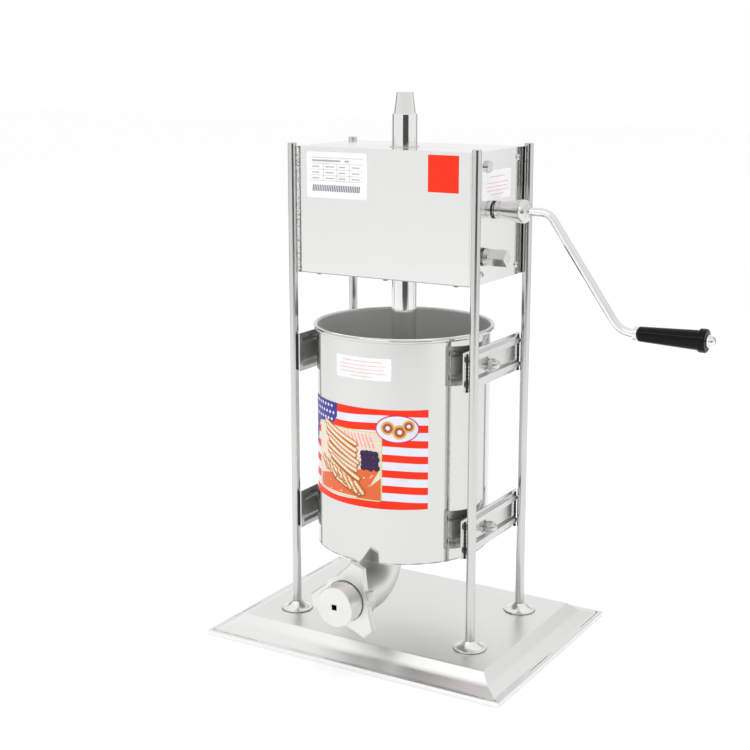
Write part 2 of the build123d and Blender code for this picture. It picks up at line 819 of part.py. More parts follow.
# Plunger: dished disc with a sealing ring in its edge and a nut in its underside
plunger_radius = pot_bore - plunger_clearance
nut_pocket_radius = plunger_nut_flats / sqrt(3) + plunger_nut_gap
with BuildPart() as plunger:
    with BuildSketch(facing_front(pot_axis_y, plunger_bottom)):
        with Locations((plunger_radius / 2, plunger_thickness / 2)):
            Rectangle(plunger_radius, plunger_thickness)
    revolve(axis=Axis((0, pot_axis_y, 0), (0, 0, 1)))
    chamfer(plunger.edges().filter_by(GeomType.CIRCLE), plunger_edge)
    with BuildSketch(Plane.XY.offset(plunger_bottom + plunger_web)):
        with Locations((0, pot_axis_y)):
            Circle(plunger_recess_radius)
            Circle(rod_radius + guide_wall, mode=Mode.SUBTRACT)
    extrude(amount=plunger_thickness, mode=Mode.SUBTRACT)
    with BuildSketch(Plane.XY.offset(plunger_bottom + plunger_thickness / 2 - seal_height / 2)):
        with Locations((0, pot_axis_y)):
            Circle(plunger_radius)
            Circle(plunger_radius - seal_depth, mode=Mode.SUBTRACT)
    extrude(amount=seal_height, mode=Mode.SUBTRACT)
    with BuildSketch(Plane.XY.offset(plunger_bottom)):
        with Locations((0, pot_axis_y)):
            Circle(rod_stub_radius)
    extrude(amount=plunger_thickness, mode=Mode.SUBTRACT)
    with BuildSketch(Plane.XY.offset(plunger_bottom)):
        with Locations((0, pot_axis_y)):
            Circle(nut_pocket_radius)
    extrude(amount=plunger_stub_end + plunger_nut_height, mode=Mode.SUBTRACT)
save(plunger, "plunger")

with BuildPart() as plunger_seal:
    with BuildSketch(Plane.XY.offset(plunger_bottom + plunger_thickness / 2 - seal_height / 2)):
        with Locations((0, pot_axis_y)):
            Circle(pot_bore - seal_gap)
            Circle(plunger_radius - seal_depth, mode=Mode.SUBTRACT)
    extrude(amount=seal_height)
save(plunger_seal, "plunger_seal")

with BuildPart() as plunger_nut:
    with BuildSketch(Plane.XY.offset(plunger_bottom + plunger_stub_end)):
        with Locations((0, pot_axis_y)):
            RegularPolygon(plunger_nut_flats / 2, 6, major_radius=False)
            Circle(rod_stub_radius, mode=Mode.SUBTRACT)
    extrude(amount=plunger_nut_height)
save(plunger_nut, "plunger_nut")

# Crank hub: a cone with a domed end, broached square for the shaft
hub_start = square_start + hub_gap
hub_cone_end = hub_start + hub_cone
hub_end = hub_cone_end + hub_dome
arm_inner_x = hub_end - arm_start
with BuildPart() as crank_hub:
    with BuildSketch(facing_front(fast_y, fast_z)):
        with BuildLine():
            brow = (hub_cone_end, hub_large_radius)
            nose = (hub_end, arm_radius)
            Polyline((hub_end, 0), (hub_start, 0), (hub_start, hub_small_radius), brow)
            TangentArc(brow, nose, tangent=(hub_cone, hub_large_radius - hub_small_radius))
            Line(nose, (hub_end, 0))
        make_face()
    revolve(axis=Axis((0, fast_y, fast_z), (1, 0, 0)))
    with BuildSketch(across(hub_start, fast_y, fast_z)):
        Rectangle(drive_square + 2 * hub_square_gap, drive_square + 2 * hub_square_gap, rotation=45)
    extrude(amount=hub_bore_depth, mode=Mode.SUBTRACT)
    with BuildSketch(across(arm_inner_x, fast_y, fast_z)):
        Circle(arm_radius)
    extrude(amount=arm_start, mode=Mode.SUBTRACT)
save(crank_hub, "crank_hub")

# Crank arm: bent round bar with a turned spindle for the grip
first_corner = (hub_end + arm_first_run, 0)
second_corner = (first_corner[0] + arm_lean, -arm_drop)
arm_end = (second_corner[0] + arm_last_run, -arm_drop)
spindle_z = fast_z - arm_drop
ferrule_end = arm_end[0] + ferrule_length
grip_start = ferrule_end + grip_end_gap
grip_end = grip_start + grip_length + grip_flange
spindle_end = grip_end + grip_end_gap
with BuildPart() as crank_arm:
    with BuildLine(facing_front(fast_y, fast_z)) as arm_path:
        FilletPolyline(
            (arm_inner_x, 0),
            first_corner,
            second_corner,
            arm_end,
            radius=[arm_first_bend, arm_second_bend],
        )
    with BuildSketch(across(arm_inner_x, fast_y, fast_z)):
        Circle(arm_radius)
    sweep(path=arm_path.line)
    with BuildSketch(across(arm_end[0], fast_y, spindle_z)):
        Circle(ferrule_radius)
    extrude(amount=ferrule_length)
    chamfer(crank_arm.faces().sort_by(Axis.X)[-1].edges(), ferrule_groove)
    with BuildSketch(across(ferrule_end, fast_y, spindle_z)):
        Circle(spindle_radius)
    extrude(amount=spindle_end - ferrule_end)
save(crank_arm, "crank_arm")

# Turning grip: a taper with a rounded flange at its end
flare = grip_end - grip_flange
grip_bore = spindle_radius + grip_bore_gap
with BuildPart() as crank_grip:
    with BuildSketch(facing_front(fast_y, spindle_z)):
        Polygon(
            (grip_start, grip_bore),
            (grip_start, grip_small_radius - grip_mouth),
            (grip_start + grip_mouth, grip_small_radius),
            (flare, grip_large_radius),
            (flare, grip_flange_radius),
            (grip_end, grip_flange_radius),
            (grip_end, grip_bore),
            align=None,
        )
    revolve(axis=Axis((0, fast_y, spindle_z), (1, 0, 0)))
    fillet(crank_grip.edges().filter_by(GeomType.CIRCLE).sort_by(SortBy.RADIUS)[-2:], grip_flange_round)
save(crank_grip, "crank_grip")

grip_nut_end = spindle_end + grip_nut_rim + grip_nut_dome_radius
with BuildPart() as grip_nut:
    with BuildSketch(facing_front(fast_y, spindle_z)):
        with BuildLine():
            brow = (spindle_end + grip_nut_rim, grip_nut_dome_radius)
            tip = (grip_nut_end, 0)
            Polyline(
                tip,
                (spindle_end, 0),
                (spindle_end, grip_nut_radius),
                (spindle_end + grip_nut_rim, grip_nut_radius),
                brow,
            )
            TangentArc(brow, tip, tangent=(1, 0))
        make_face()
    revolve(axis=Axis((0, fast_y, spindle_z), (1, 0, 0)))
    with BuildSketch(across(grip_nut_end - grip_nut_slot_depth, fast_y, spindle_z)):
        Rectangle(grip_nut_slot, 2 * grip_nut_radius)
    extrude(amount=grip_nut_slot_depth, mode=Mode.SUBTRACT)
save(grip_nut, "grip_nut")

# Outlet elbow from the pot floor to the threaded collar
nut_front = -nozzle_reach + nozzle_length
collar_front = nut_front + nut_web + nozzle_flange + gasket_thickness
collar_back = collar_front + collar_length
elbow_bend = pot_floor_height - outlet_height - elbow_neck
with BuildPart() as outlet_elbow:
    with BuildLine() as elbow_path:
        start = (0, outlet_y, pot_floor_height)
        corner = (0, outlet_y, outlet_height)
        FilletPolyline(start, corner, (0, collar_back, outlet_height), radius=elbow_bend)
    with BuildSketch(Plane.XY.offset(pot_floor_height)):
        with Locations((0, outlet_y)):
            Circle(outlet_radius)
            Circle(outlet_bore, mode=Mode.SUBTRACT)
    sweep(path=elbow_path.line)
save(outlet_elbow, "outlet_elbow")

with BuildPart() as outlet_collar:
    with BuildSketch(facing_front(collar_back, outlet_height)):
        Circle(collar_radius)
    extrude(amount=collar_length)
    with BuildSketch(facing_front(collar_back, outlet_height)):
        Circle(outlet_bore)
    extrude(amount=collar_length, mode=Mode.SUBTRACT)
    chamfer(outlet_collar.faces().sort_by(Axis.Y)[0].edges(), nozzle_chamfer)
save(outlet_collar, "outlet_collar")

with BuildPart() as nozzle_gasket:
    with BuildSketch(facing_front(collar_front, outlet_height)):
        Circle(collar_radius - nozzle_chamfer)
        Circle(outlet_bore, mode=Mode.SUBTRACT)
    extrude(amount=gasket_thickness)
save(nozzle_gasket, "nozzle_gasket")

# Nozzle: a flanged cup with a square hole in its face
nozzle_back = collar_front - gasket_thickness
nozzle_inner = nozzle_radius - nozzle_wall
with BuildPart() as nozzle:
    with BuildSketch(facing_front(nozzle_back, outlet_height)):
        Circle(collar_radius - nozzle_chamfer)
    extrude(amount=nozzle_flange)
    with BuildSketch(facing_front(nozzle_back, outlet_height)):
        Circle(nozzle_radius)
    extrude(amount=nozzle_reach + nozzle_back)
    chamfer(nozzle.faces().sort_by(Axis.Y)[0].edges(), nozzle_chamfer)
    with BuildSketch(facing_front(nozzle_back, outlet_height)):
        Circle(nozzle_inner)
    extrude(amount=nozzle_reach + nozzle_back - nozzle_face, mode=Mode.SUBTRACT)
    with BuildSketch(facing_front(nozzle_back, outlet_height)):
        Rectangle(nozzle_hole, nozzle_hole)
    extrude(amount=nozzle_reach + nozzle_back, mode=Mode.SUBTRACT)
save(nozzle, "nozzle")


# Wing nut: three lobes around a threaded cup, with one stop lug between them
def polar(radius, angle):
    return (radius * cos(angle), radius * sin(angle))


with BuildPart() as wing_nut:
    with BuildSketch(facing_front(nut_front + nut_wing_thickness, outlet_height)):
        with BuildLine():
            lobe_step = 2 * pi / nut_lobes
            for lobe in range(nut_lobes):
                middle = nut_first_lobe + lobe * lobe_step
                lobe_corner = polar(nut_lobe_radius, middle + nut_lobe_half_angle)
                next_corner = polar(nut_lobe_radius, middle + lobe_step - nut_lobe_half_angle)
                waist = polar(nut_waist_radius, middle + lobe_step / 2)
                Line(polar(nut_lobe_radius, middle - nut_lobe_half_angle), lobe_corner)
                ThreePointArc(lobe_corner, waist, next_corner)
        make_face()
    extrude(amount=nut_wing_thickness)
    chamfer(wing_nut.faces().sort_by(Axis.Y)[0].edges(), nut_edge)
    with BuildSketch(facing_front(nut_front + nut_wing_thickness, outlet_height)):
        with PolarLocations(0, 1, start_angle=nut_lug_angle):
            Rectangle(nut_lug_radius, nut_lug_width, align=(Align.MIN, Align.CENTER))
    extrude(amount=nut_wing_thickness - nut_lug_setback)
    with BuildSketch(facing_front(nut_front + nut_depth, outlet_height)):
        Circle(nut_skirt_radius)
    extrude(amount=nut_depth)
    with BuildSketch(facing_front(nut_front + nut_depth, outlet_height)):
        Circle(collar_radius + nut_thread_gap)
    extrude(amount=nut_depth - nut_web, mode=Mode.SUBTRACT)
    with BuildSketch(facing_front(nut_front + nut_web, outlet_height)):
        Circle(nozzle_radius + nut_nozzle_gap)
    extrude(amount=nut_web, mode=Mode.SUBTRACT)
save(wing_nut, "wing_nut")
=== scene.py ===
from math import cos, pi, radians, sin
from random import Random

import bmesh
import bpy
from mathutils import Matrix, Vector


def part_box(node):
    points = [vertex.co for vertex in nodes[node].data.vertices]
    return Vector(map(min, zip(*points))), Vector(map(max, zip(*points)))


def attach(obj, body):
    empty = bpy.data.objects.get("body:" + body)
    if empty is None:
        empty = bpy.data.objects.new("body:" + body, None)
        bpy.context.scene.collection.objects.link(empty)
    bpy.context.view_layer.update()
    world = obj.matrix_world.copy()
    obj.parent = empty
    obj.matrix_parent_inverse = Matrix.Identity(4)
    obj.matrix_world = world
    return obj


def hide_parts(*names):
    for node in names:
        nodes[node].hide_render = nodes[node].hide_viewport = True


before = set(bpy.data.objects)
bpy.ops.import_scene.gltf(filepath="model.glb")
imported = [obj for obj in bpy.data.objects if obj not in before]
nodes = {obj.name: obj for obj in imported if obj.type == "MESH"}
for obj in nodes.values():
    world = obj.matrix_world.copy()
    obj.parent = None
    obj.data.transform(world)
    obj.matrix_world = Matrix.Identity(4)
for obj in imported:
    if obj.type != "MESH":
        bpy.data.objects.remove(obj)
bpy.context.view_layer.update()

scene = bpy.context.scene

rightward = Vector((1, 0, 0))
rearward = Vector((0, 1, 0))
upward = Vector((0, 0, 1))

# Places in mm that several pieces share
pot_radius = 107.5
pot_y = -14.0
post_x, post_y = 125, 70
cover_y = -67


def xyz(*values):
    """A place given in mm."""
    return Vector([v / 1000 for v in values])


# Camera at the photograph's viewing angle
camera_place = xyz(846.5, -1506.6, 727.7)
camera_aim = xyz(-36.8, -21.9, 375.6)
camera_lens, camera_sensor, camera_shift = 68.1, 36, -0.0467


def add_camera():
    data = bpy.data.cameras.new("camera")
    data.lens = camera_lens
    data.sensor_width = camera_sensor
    data.shift_y = camera_shift
    camera = bpy.data.objects.new("camera", data)
    camera.location = camera_place
    aim = camera_aim - camera.location
    camera.rotation_euler = aim.to_track_quat("-Z", "Y").to_euler()
    scene.collection.objects.link(camera)
    scene.camera = camera


add_camera()


# Materials
class Shade:
    """A node material with a Principled shader, and short calls for its other nodes."""

    def __init__(self, name, color, roughness, metallic=0.0, **sockets):
        self.material = bpy.data.materials.new(name)
        self.material.use_nodes = True
        self.tree = self.material.node_tree
        self.shader = self.tree.nodes["Principled BSDF"]
        self.shader.inputs["Base Color"].default_value = (*color, 1)
        self.shader.inputs["Roughness"].default_value = roughness
        self.shader.inputs["Metallic"].default_value = metallic
        for socket, value in sockets.items():
            self.shader.inputs[socket.replace("_", " ")].default_value = value

    def node(self, kind, **inputs):
        made = self.tree.nodes.new(kind)
        for socket, value in inputs.items():
            made.inputs[socket.replace("_", " ")].default_value = value
        return made

    def vector_math(self, operation, source, second=None):
        made = self.node("ShaderNodeVectorMath")
        made.operation = operation
        self.link(source, made.inputs[0])
        if second:
            made.inputs[1].default_value = second
        return made.outputs

    def link(self, source, target):
        self.tree.links.new(source, target)

    def noise(self, stretch, scale, detail=4.0, roughness=0.55):
        place = self.node("ShaderNodeTexCoord")
        mapping = self.node("ShaderNodeMapping", Scale=stretch)
        noise = self.node("ShaderNodeTexNoise", Scale=scale, Detail=detail, Roughness=roughness)
        self.link(place.outputs["Object"], mapping.inputs["Vector"])
        self.link(mapping.outputs["Vector"], noise.inputs["Vector"])
        return noise.outputs["Fac"]

    def spread(self, value, low, high, start=0.3, end=0.7):
        spread = self.node("ShaderNodeMapRange", From_Min=start, From_Max=end, To_Min=low, To_Max=high)
        self.link(value, spread.inputs["Value"])
        return spread.outputs["Result"]

    def roughness(self, value):
        self.link(value, self.shader.inputs["Roughness"])

    def color(self, value, low, high, start=0.3, end=0.7):
        ramp = self.node("ShaderNodeValToRGB")
        ramp.color_ramp.elements[0].position = start
        ramp.color_ramp.elements[0].color = (*low, 1)
        ramp.color_ramp.elements[1].position = end
        ramp.color_ramp.elements[1].color = (*high, 1)
        self.link(value, ramp.inputs["Fac"])
        self.link(ramp.outputs["Color"], self.shader.inputs["Base Color"])

    def bump(self, value, strength, distance):
        bump = self.node("ShaderNodeBump", Strength=strength, Distance=distance)
        self.link(value, bump.inputs["Height"])
        self.link(bump.outputs["Normal"], self.shader.inputs["Normal"])


evenly = (1, 1, 1)

# Steel has a little less blue, and its grain dims it a little
steel_blue = 0.985
grain_dim, grain_dim_blue = 0.985, 0.97
steel_bump_depth = 0.0002


def steel(name, tone, low, high, grain=evenly, grain_scale=60.0, bump=0.0, cloud=7.0):
    """Metal with roughness in clouds from low to high, and grain stretched along one axis."""
    bright = (tone, tone, tone * steel_blue)
    dim = (tone * grain_dim, tone * grain_dim, tone * grain_dim_blue)
    shade = Shade(name, bright, low, metallic=1.0)
    clouds = shade.noise(evenly, cloud, detail=1.0)
    shade.roughness(shade.spread(clouds, low, high))
    lines = shade.noise(grain, grain_scale, detail=1.0)
    shade.color(lines, dim, bright)
    if bump:
        shade.bump(lines, bump, steel_bump_depth)
    return shade.material


plastic_dim = 0.88
plastic_cloud_scale = 30
plastic_bump_depth = 0.0003


def plastic(name, color, low, high, grain_scale, bump, **sockets):
    """A dull or glossy coat with roughness in clouds from low to high, and a fine grain."""
    shade = Shade(name, color, low, **sockets)
    clouds = shade.noise(evenly, plastic_cloud_scale)
    shade.roughness(shade.spread(clouds, low, high))
    shade.color(clouds, tuple(c * plastic_dim for c in color), color)
    shade.bump(shade.noise(evenly, grain_scale), bump, plastic_bump_depth)
    return shade.material


sheet_steel = steel("sheet_steel", 0.815, 0.13, 0.18, grain=(9, 9, 0.15), grain_scale=60)
base_steel = steel("base_steel", 0.91, 0.29, 0.36, grain=(0.12, 6, 6), grain_scale=60)
rail_steel = steel("rail_steel", 0.7, 0.2, 0.28, grain=(1, 0.1, 1), grain_scale=150)
rail_steel.node_tree.nodes["Principled BSDF"].inputs["Metallic"].default_value = 0.8
bar_steel = steel("bar_steel", 0.82, 0.04, 0.08, grain=(1, 1, 0.1), grain_scale=200)
post_steel = steel("post_steel", 0.63, 0.15, 0.21, grain=(1, 1, 0.1), grain_scale=200)
spun_steel = steel("spun_steel", 0.9, 0.18, 0.24, grain=(1, 1, 6), grain_scale=150)
satin_steel = steel("satin_steel", 0.8, 0.36, 0.44, grain_scale=200)
crank_steel = steel("crank_steel", 0.84, 0.08, 0.13, grain_scale=160)
hub_steel = steel("hub_steel", 0.74, 0.2, 0.27, grain=(0.1, 1, 1), grain_scale=500, bump=0.03)
fastener_steel = steel("fastener_steel", 0.66, 0.07, 0.12, grain_scale=300)
turned_steel = steel("turned_steel", 0.7, 0.24, 0.34, grain=(0.2, 1, 1), grain_scale=300, bump=0.04)
cast_steel = steel("cast_steel", 0.79, 0.34, 0.44, grain_scale=380, bump=0.08, cloud=40)
# Near-black steel, used only for marks of painted shade and painted shadow
painted_shade_steel = steel("painted_shade_steel", 0.12, 0.4, 0.5, grain_scale=300)
# Dark grey steel of the spring washers, also used for a strip of painted shade under the front cover and a dark
# ring at the pot's foot
washer_and_shade_steel = steel("washer_and_shade_steel", 0.42, 0.22, 0.3, grain_scale=300)
# Near-black beads, painted shade in the gaps where the rails meet the posts
rail_gap_shade = plastic("rail_gap_shade", (0.012, 0.01, 0.009), 0.5, 0.7, 900, 0.3)


def weld_finish():
    """Grainy weld metal, bright with dark flecks."""
    shade = Shade("weld_steel", (0.7, 0.7, 0.68), 0.4, metallic=0.25)
    grain = shade.noise(evenly, 420, detail=3.0, roughness=0.7)
    shade.color(grain, (0.2, 0.195, 0.19), (0.86, 0.855, 0.84), start=0.36, end=0.52)
    shade.roughness(shade.spread(grain, 0.6, 0.3))
    shade.bump(grain, 0.6, 0.0006)
    return shade.material


weld_steel = weld_finish()

# Distances from the pot's axis, in metres, between its inside and its outside
wall_middle_start, wall_middle_end = 0.1064, 0.1066


def pot_finish():
    """Polished outside and satin inside, told apart by the distance from the pot's axis. The inside's darker
    colour is painted shade.
    """
    shade = Shade("pot_steel", (0.69, 0.69, 0.68), 0.06, metallic=1.0)
    place = shade.node("ShaderNodeTexCoord")
    level = shade.vector_math("MULTIPLY", place.outputs["Object"], (1, 1, 0))
    centred = shade.vector_math("ADD", level["Vector"], (0, -pot_y / 1000, 0))
    distance = shade.vector_math("LENGTH", centred["Vector"])["Value"]

    def from_inside(inner, outer):
        return shade.spread(distance, inner, outer, start=wall_middle_start, end=wall_middle_end)

    shade.roughness(from_inside(0.5, 0.085))
    shade.link(from_inside(0.35, 1.0), shade.shader.inputs["Metallic"])
    # The darker colour inside is painted shade; the satin roughness is the inside's own finish
    shade.color(from_inside(0.0, 1.0), (0.46, 0.46, 0.445), (0.68, 0.68, 0.665))
    return shade.material


pot_steel = pot_finish()
black_plastic = plastic("black_plastic", (0.002, 0.002, 0.0025), 0.16, 0.22, 300, 0.02, Specular_IOR_Level=0.16)
black_rubber = plastic("black_rubber", (0.02, 0.02, 0.021), 0.5, 0.65, 900, 0.1)
white_plastic = plastic("white_plastic", (0.82, 0.82, 0.79), 0.35, 0.45, 400, 0.04)
bronze = Shade("bronze", (0.6, 0.4, 0.18), 0.35, metallic=1.0).material


def ink(name, color):
    return plastic(name, color, 0.3, 0.38, 300, 0.01, Specular_IOR_Level=0.2)


white_ink = ink("white_ink", (0.96, 0.96, 0.96))
cool_ink = ink("cool_ink", (0.82, 0.85, 0.95))
cream_ink = ink("cream_ink", (0.88, 0.72, 0.60))
grey_ink = ink("grey_ink", (0.2, 0.21, 0.23))
pale_grey_ink = ink("pale_grey_ink", (0.42, 0.43, 0.46))
red_ink = ink("red_ink", (0.98, 0.034, 0.008))
pink_ink = ink("pink_ink", (0.88, 0.42, 0.40))
rose_ink = ink("rose_ink", (0.78, 0.03, 0.16))
blue_ink = ink("blue_ink", (0.055, 0.038, 0.30))
plum_ink = ink("plum_ink", (0.045, 0.02, 0.06))
green_ink = ink("green_ink", (0.60, 0.78, 0.34))
gold_ink = ink("gold_ink", (0.80, 0.42, 0.12))
brown_ink = ink("brown_ink", (0.42, 0.11, 0.05))
orange_ink = ink("orange_ink", (0.80, 0.16, 0.05))

corner_names = ("front_left", "front_right", "rear_left", "rear_right")
finishes = {
    base_steel: ["base_pan"],
    sheet_steel: ["side_plate_left", "side_plate_right", "cover_front", "cover_rear", "tray_top", "tray_bottom"],
    pot_steel: ["pot_wall", "pot_floor"],
    satin_steel: ["outlet_elbow"],
    rail_steel: ["rail_upper_left", "rail_upper_right", "rail_lower_left", "rail_lower_right"],
    post_steel: [f"post_{corner}" for corner in corner_names],
    spun_steel: [f"rosette_{corner}" for corner in corner_names],
    bar_steel: ["rack_rod", "rod_cap"],
    crank_steel: ["crank_arm", "grip_nut"],
    hub_steel: ["crank_hub", "fast_shaft", "slow_shaft"],
    fastener_steel: [
        "post_washers", "post_nuts", "pot_studs", "dome_nuts", "stud_washers", "stud_spacers",
        "side_screws", "cover_screws", "oil_plug", "plunger_nut",
    ],
    washer_and_shade_steel: ["spring_washers"],
    turned_steel: [
        "rod_guide_top", "rod_guide_bottom", "main_shaft", "rack_pinion",
        "fast_wheel", "slow_wheel", "fast_pinion", "slow_pinion",
    ],
    cast_steel: ["outlet_collar", "nozzle", "wing_nut"],
    bronze: ["main_bush_left", "main_bush_right", "fast_bush", "slow_bush"],
    black_plastic: ["crank_grip"],
    white_plastic: ["plunger"],
    black_rubber: ["seal_rings", "plunger_seal", "nozzle_gasket"],
}
for material, names in finishes.items():
    for name in names:
        for slot in nodes[name].material_slots:
            slot.material = material


# New pieces
def add_piece(name, mesh, material, body):
    piece = bpy.data.objects.new(name, mesh)
    piece.data.materials.append(material)
    scene.collection.objects.link(piece)
    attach(piece, body)
    return piece


def to_mesh(name, build):
    mesh = bpy.data.meshes.new(name)
    build.to_mesh(mesh)
    build.free()
    return mesh


def finish_mesh(name, build, smooth=False):
    bmesh.ops.recalc_face_normals(build, faces=build.faces)
    mesh = to_mesh(name, build)
    if smooth:
        mesh.shade_smooth()
    return mesh


def skin(build, rings):
    """Faces between each ring of corners and the next."""
    for low, high in zip(rings, rings[1:]):
        sides = len(low)
        for j in range(sides):
            build.faces.new((low[j], low[(j + 1) % sides], high[(j + 1) % sides], high[j]))


# Outlines in mm
def turns(count):
    return [2 * pi * k / count for k in range(count)]


def rounded(u0, v0, u1, v1, radius, steps=5):
    corners = (
        (u1 - radius, v1 - radius, 0),
        (u0 + radius, v1 - radius, 90),
        (u0 + radius, v0 + radius, 180),
        (u1 - radius, v0 + radius, 270),
    )
    points = []
    for u, v, start in corners:
        for step in range(steps + 1):
            angle = radians(start + 90 * step / steps)
            points.append((u + radius * cos(angle), v + radius * sin(angle)))
    return points


def bar(u0, v0, u1, v1):
    return [(u0, v0), (u1, v0), (u1, v1), (u0, v1)]


def slanted(u0, v0, u1, v1, slant):
    return [(u0, v0), (u1, v0), (u1 + slant, v1), (u0 + slant, v1)]


def ellipse(u, v, across, up, count):
    return [(u + across * cos(turn), v + up * sin(turn)) for turn in turns(count)]


def disc(u, v, radius, count):
    return ellipse(u, v, radius, radius, count)


print_thickness = 0.0002


def print_on_plane(name, outlines, origin, across, lift, material):
    """Outlines on an upright plane, lifted off it in mm, a little thick."""
    normal = across.cross(upward)
    build = bmesh.new()
    for outline in outlines:
        front = [
            build.verts.new(origin + across * u / 1000 + upward * v / 1000 + normal * lift / 1000)
            for u, v in outline
        ]
        face = build.faces.new(front)
        solid = bmesh.ops.extrude_face_region(build, geom=[face])
        moved = [g for g in solid["geom"] if isinstance(g, bmesh.types.BMVert)]
        bmesh.ops.translate(build, verts=moved, vec=normal * print_thickness)
    return add_piece(name, finish_mesh(name, build), material, "frame")


bend_step = 0.004


def print_on_pot(name, outlines, lift, material):
    """Outlines in arc length and height, cut into strips and bent round the wall."""
    build = bmesh.new()
    for outline in outlines:
        build.faces.new([build.verts.new((u / 1000, 0, v / 1000)) for u, v in outline])
    low = min(v.co.x for v in build.verts)
    high = max(v.co.x for v in build.verts)
    cut = low + bend_step
    while cut < high:
        geometry = list(build.verts) + list(build.edges) + list(build.faces)
        bmesh.ops.bisect_plane(build, geom=geometry, plane_co=(cut, 0, 0), plane_no=(1, 0, 0))
        cut += bend_step
    radius = (pot_radius + lift) / 1000
    for vert in build.verts:
        angle = vert.co.x * 1000 / pot_radius
        vert.co = Vector((radius * sin(angle), pot_y / 1000 - radius * cos(angle), vert.co.z))
    bmesh.ops.recalc_face_normals(build, faces=build.faces)
    for face in build.faces:
        middle = face.calc_center_median()
        if face.normal.dot(Vector((middle.x, middle.y - pot_y / 1000, 0))) < 0:
            face.normal_flip()
    mesh = to_mesh(name, build)
    mesh.shade_smooth()
    return add_piece(name, mesh, material, "frame")


# Data plate on the front cover, bare but for ruled lines, short bars and a hatch band
plate_lift, mark_lift = 0.0, 0.2
plate_origin = xyz(-106, cover_y, 554)
print_on_plane("data_plate", [rounded(0, 0, 85, 55, 2)], plate_origin, rightward, plate_lift, white_ink)

table_left, table_right, table_low, table_high = 6, 79, 20.5, 41
rule = 0.3
ruled = [bar(table_left, 48, table_right, 48.4)]
ruled += [bar(table_left, v, table_right, v + rule) for v in (table_high, 34, 27, table_low)]
ruled += [bar(u, table_low, u + rule, table_high) for u in (24, 43, 61)]
print_on_plane("data_plate_lines", ruled, plate_origin, rightward, mark_lift, pale_grey_ink)

entry_height = 1.2
entry_columns = ((8, 10), (27, 12), (46, 9), (64, 11))
entries = [bar(8, 43.6, 48, 45.6), bar(54, 43.6, 60, 45.6)]
entries += [bar(u, v, u + width, v + entry_height) for v in (36.8, 29.8, 23) for u, width in entry_columns]
print_on_plane("data_plate_entries", entries, plate_origin, rightward, mark_lift, pale_grey_ink)

hatch_pitch, hatch_count = 2.5, 27
hatch = [slanted(8 + hatch_pitch * k, 8, 9.4 + hatch_pitch * k, 15.5, 1.2) for k in range(hatch_count)]
print_on_plane("data_plate_hatch", hatch, plate_origin, rightward, mark_lift, grey_ink)

# Bare red plate on the front cover
red_origin = xyz(61, cover_y, 568)
print_on_plane("red_plate", [rounded(0, 0, 40, 43, 0.8)], red_origin, rightward, plate_lift, red_ink)

# Plain label on the side plate
side_origin = xyz(119.5, -45, 558)
print_on_plane("side_label", [rounded(0, 0, 77, 34, 1.5)], side_origin, rearward, plate_lift, white_ink)
side_lines = [
    bar(20, 26, 60, 26.7),
    bar(12, 19, 68, 19.6),
    bar(12, 14.5, 66, 15.1),
    bar(12, 10, 68, 10.6),
    bar(24, 5.5, 56, 6.1),
]
print_on_plane("side_label_lines", side_lines, side_origin, rearward, mark_lift, pink_ink)

# Plain label on the pot
print_on_pot("pot_label", [rounded(-34, 350, 41, 377, 2.5)], 0.15, white_ink)
pot_lines = [
    bar(-24, 371.5, 30, 372.1),
    bar(-28, 366.8, 34, 367.3),
    bar(-28, 362.4, 32, 362.9),
    bar(-28, 358, 34, 358.5),
    bar(-12, 353.6, 18, 354.1),
]
print_on_pot("pot_label_lines", pot_lines, 0.25, pink_ink)

# Decal on the pot: wavy bands, a dotted field, a picture of golden sticks and an oval with rings.
# Each layer lies a little further off the wall than the one under it.
decal_left, decal_right, decal_low, decal_high = -92, 85, 194, 316
wave_height, wave_length = 1.6, 21.0
flat_below, flat_above = 195, 315


def band_edge(u, level):
    """Straight beside the decal's own edges, and wavy between them."""
    if level < flat_below or level > flat_above:
        return level
    return level + wave_height * sin(u / wave_length)


print_on_pot("decal_sheet", [rounded(decal_left, decal_low, decal_right, decal_high, 1.5)], 0.15, cool_ink)
band_levels = ((194.2, 203), (213, 222), (232, 241), (251, 260), (270, 279), (289, 298), (307.5, 315.8))
band_steps = 24
bands = []
for low, high in band_levels:
    for k in range(band_steps):
        u0 = decal_left + (decal_right - decal_left) * k / band_steps
        u1 = decal_left + (decal_right - decal_left) * (k + 1) / band_steps
        bands.append([
            (u0, band_edge(u0, low)), (u1, band_edge(u1, low)),
            (u1, band_edge(u1, high)), (u0, band_edge(u0, high)),
        ])
print_on_pot("decal_bands", bands, 0.22, red_ink)
field = [
    (decal_left, 254), (-85, 255), (-82, 274), (-76, 286), (-64, 289),
    (-40, 291), (-34, 300), (-34, 315.8), (decal_left, 315.8),
]
print_on_pot("decal_field", [field], 0.3, blue_ink)
dot_pitch, dot_row_pitch, dot_radius = 7.2, 8.2, 1.9
dots = []
for row in range(7):
    for column in range(8):
        u = decal_left + 4.5 + dot_pitch * column + (dot_pitch / 2 if row % 2 else 0)
        v = 261.5 + dot_row_pitch * row
        on_field = u < -86 or v > 293 and u < -38
        if on_field and v < 314:
            dots.append(disc(u, v, dot_radius, 10))
print_on_pot("decal_dots", dots, 0.38, cool_ink)

print_on_pot("picture_border", [rounded(-74, 203, 30, 288, 4)], 0.36, green_ink)
print_on_pot("picture_ground", [rounded(-72.6, 204.4, 28.6, 286.6, 3)], 0.44, cream_ink)
print_on_pot("picture_corner", [[(-4, 204.4), (28.6, 204.4), (28.6, 232)]], 0.5, orange_ink)
rng = Random(11)


def stick(u, v, length, width, angle):
    """A bar with round ends, turned about its middle."""
    half = length / 2 - width / 2
    outline = []
    for side in (1, -1):
        for k in range(7):
            turn = radians(-90 * side + 30 * k)
            x = side * half + width / 2 * cos(turn)
            y = width / 2 * sin(turn)
            outline.append((u + x * cos(angle) - y * sin(angle), v + x * sin(angle) + y * cos(angle)))
    return outline


